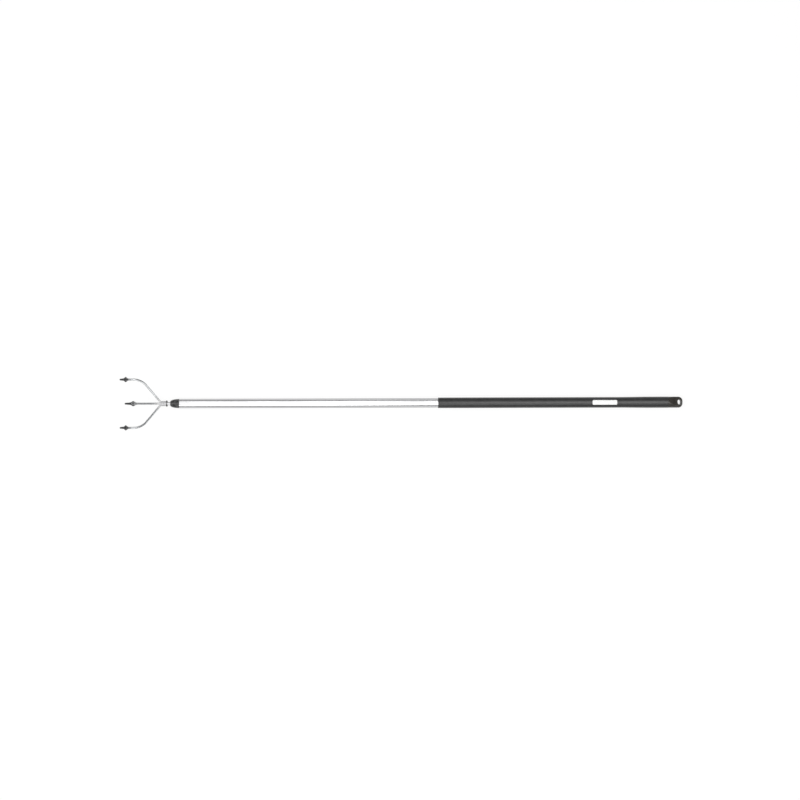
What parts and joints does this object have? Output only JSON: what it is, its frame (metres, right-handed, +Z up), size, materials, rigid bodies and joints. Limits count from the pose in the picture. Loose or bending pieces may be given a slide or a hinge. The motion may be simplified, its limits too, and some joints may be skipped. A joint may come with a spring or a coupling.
{
  "type": "long handled cultivator claw",
  "caption": "Long handled garden cultivator: a claw of bent steel rod tines with riveted arrow tips, on a straight aluminium tube with a long plastic grip and a hang hole.",
  "frame": {"origin": "on the ground under the middle of the whole length, below the shaft's axis; the tool lies on its three points and on the back of its grip", "axes": "+X along the shaft from the claw to the hang hole, +Y across the tines, +Z up"},
  "size_m": [1.5756, 0.15, 0.0542],
  "materials": {
    "tine_steel": "drawn steel rod, satin",
    "tip_steel": "forged steel, blackened, worn along the edges",
    "rivet_steel": "plain steel",
    "hub_steel": "turned steel, satin",
    "tang_steel": "turned steel, bright",
    "nose_plastic": "black moulded plastic, spark-eroded texture",
    "bush_plastic": "black moulded plastic, plain",
    "tube_aluminium": "drawn tube, clear anodised, satin",
    "grip_plastic": "dark grey moulded plastic, fine texture",
    "label_film": "blank white label",
    "cap_plastic": "warm black moulded plastic, fine texture"
  },
  "bodies": {
    "root": {"center_tine": "tine_steel", "left_tine": "tine_steel", "right_tine": "tine_steel", "center_tip": "tip_steel", "left_tip": "tip_steel", "right_tip": "tip_steel", "tip_rivets": "rivet_steel", "claw_hub": "hub_steel", "tang": "tang_steel", "nose_cap": "nose_plastic", "tang_bush": "bush_plastic", "tang_pin": "rivet_steel", "tube": "tube_aluminium", "grip_sleeve": "grip_plastic", "grip_label": "label_film", "end_cap": "cap_plastic"}
  },
  "joints": []
}
